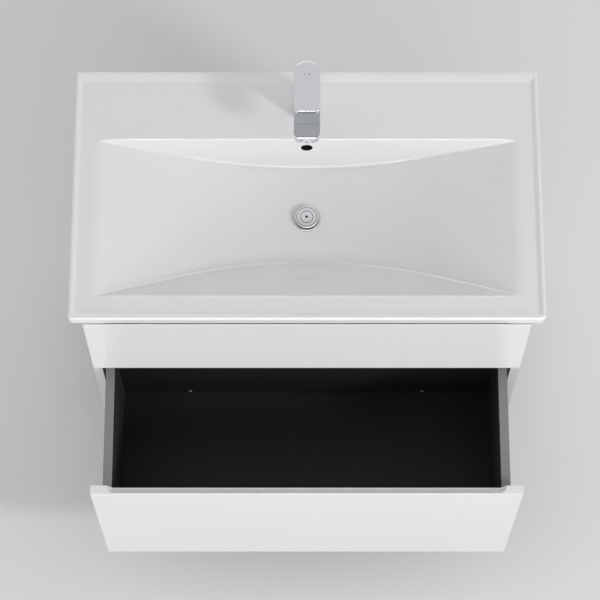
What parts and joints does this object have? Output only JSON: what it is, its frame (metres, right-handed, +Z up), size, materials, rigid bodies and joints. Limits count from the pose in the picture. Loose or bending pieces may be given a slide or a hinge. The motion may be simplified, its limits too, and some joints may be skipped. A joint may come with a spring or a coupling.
{
  "type": "floor-standing vanity unit",
  "caption": "Floor-standing bathroom vanity: a ceramic basin with a trough bowl and lever mixer on a white cabinet with finger-pull drawers, the lower one open.",
  "frame": {"origin": "on the floor, under the middle of the box around the whole object with its lower drawer open", "axes": "+X to the right as seen from the front, -Y to the front, +Z up"},
  "size_m": [0.8, 0.682, 0.977],
  "materials": {
    "white_ceramic": "glossy white glaze",
    "white_lacquer": "white gloss lacquer on board",
    "white_board": "white melamine on board",
    "dark_board": "dark grey matte laminate on board",
    "chrome": "polished",
    "zinc_steel": "bright zinc",
    "satin_aluminium": "satin",
    "white_plastic": "moulded",
    "black_rubber": "moulded",
    "clear_rubber": "soft clear",
    "beech": "plain turned",
    "brass": "machined"
  },
  "bodies": {
    "carcass": {"basin": "white_ceramic", "bottom_panel": "white_board", "carcass_dowels": "beech", "cartridge": "white_plastic", "cartridge_nut": "brass", "front_bumpers": "clear_rubber", "leg_front_left": "satin_aluminium", "leg_front_right": "satin_aluminium", "leg_pads": "black_rubber", "leg_plates": "zinc_steel", "leg_rear_left": "satin_aluminium", "leg_rear_right": "satin_aluminium", "leg_screws": "zinc_steel", "lower_back_rail": "white_board", "lower_runner_rails": "zinc_steel", "middle_rail": "white_board", "mixer_aerator": "chrome", "mixer_body": "chrome", "mixer_clamp": "zinc_steel", "mixer_gasket": "black_rubber", "mixer_nut": "zinc_steel", "mixer_stud": "zinc_steel", "runner_screws": "zinc_steel", "side_panel_left": "white_lacquer", "side_panel_right": "white_lacquer", "trap_body": "white_plastic", "trap_cup": "white_plastic", "trap_inlet_nut": "white_plastic", "trap_outlet_nut": "white_plastic", "trap_outlet_tube": "white_plastic", "upper_back_rail": "white_board", "upper_runner_rails": "zinc_steel", "waste_body": "chrome", "waste_nut": "white_plastic", "waste_seal": "black_rubber"},
    "lower_drawer": {"lower_drawer_back": "dark_board", "lower_drawer_bottom": "dark_board", "lower_drawer_fittings": "zinc_steel", "lower_drawer_front": "white_lacquer", "lower_drawer_side_left": "dark_board", "lower_drawer_side_right": "dark_board", "lower_runner_slides": "zinc_steel"},
    "lower_runner": {"lower_runner_middles": "zinc_steel", "lower_runner_rollers": "white_plastic"},
    "upper_drawer": {"upper_drawer_backs": "dark_board", "upper_drawer_bottom": "dark_board", "upper_drawer_fittings": "zinc_steel", "upper_drawer_front": "white_lacquer", "upper_drawer_recess_front": "dark_board", "upper_drawer_recess_sides": "dark_board", "upper_drawer_side_left": "dark_board", "upper_drawer_side_right": "dark_board", "upper_runner_slides": "zinc_steel"},
    "upper_runner": {"upper_runner_middles": "zinc_steel", "upper_runner_rollers": "white_plastic"},
    "mixer_turn": {"mixer_carrier": "white_plastic"},
    "mixer_lever": {"lever": "chrome", "lever_stem": "zinc_steel"},
    "plug": {"waste_plug": "chrome"}
  },
  "joints": [
    {"name": "lower_drawer_slide", "type": "slide", "parent": "carcass", "child": "lower_drawer", "axis": [0, -1, 0], "range_m": [-0.229, 0.021]},
    {"name": "lower_runner_slide", "type": "slide", "parent": "carcass", "child": "lower_runner", "axis": [0, -1, 0], "range_m": [-0.1145, 0.0105]},
    {"name": "upper_drawer_slide", "type": "slide", "parent": "carcass", "child": "upper_drawer", "axis": [0, -1, 0], "range_m": [0, 0.25]},
    {"name": "upper_runner_slide", "type": "slide", "parent": "carcass", "child": "upper_runner", "axis": [0, -1, 0], "range_m": [0, 0.125]},
    {"name": "mixer_turn", "type": "hinge", "parent": "carcass", "child": "mixer_turn", "pos_m": [0, 0.278, 0.944], "axis": [0, 0, 1], "range_deg": [-45, 45]},
    {"name": "mixer_lift", "type": "hinge", "parent": "mixer_turn", "child": "mixer_lever", "pos_m": [0, 0.278, 0.944], "axis": [-1, 0, 0], "range_deg": [0, 22]},
    {"name": "plug_press", "type": "slide", "parent": "carcass", "child": "plug", "axis": [0, 0, 1], "range_m": [-0.0036, 0], "stiffness_N_per_m": 400, "springref_m": 0.01}
  ],
  "couplings": [
    {"joint": "lower_runner_slide", "follows": "lower_drawer_slide", "ratio": 0.5},
    {"joint": "upper_runner_slide", "follows": "upper_drawer_slide", "ratio": 0.5}
  ]
}
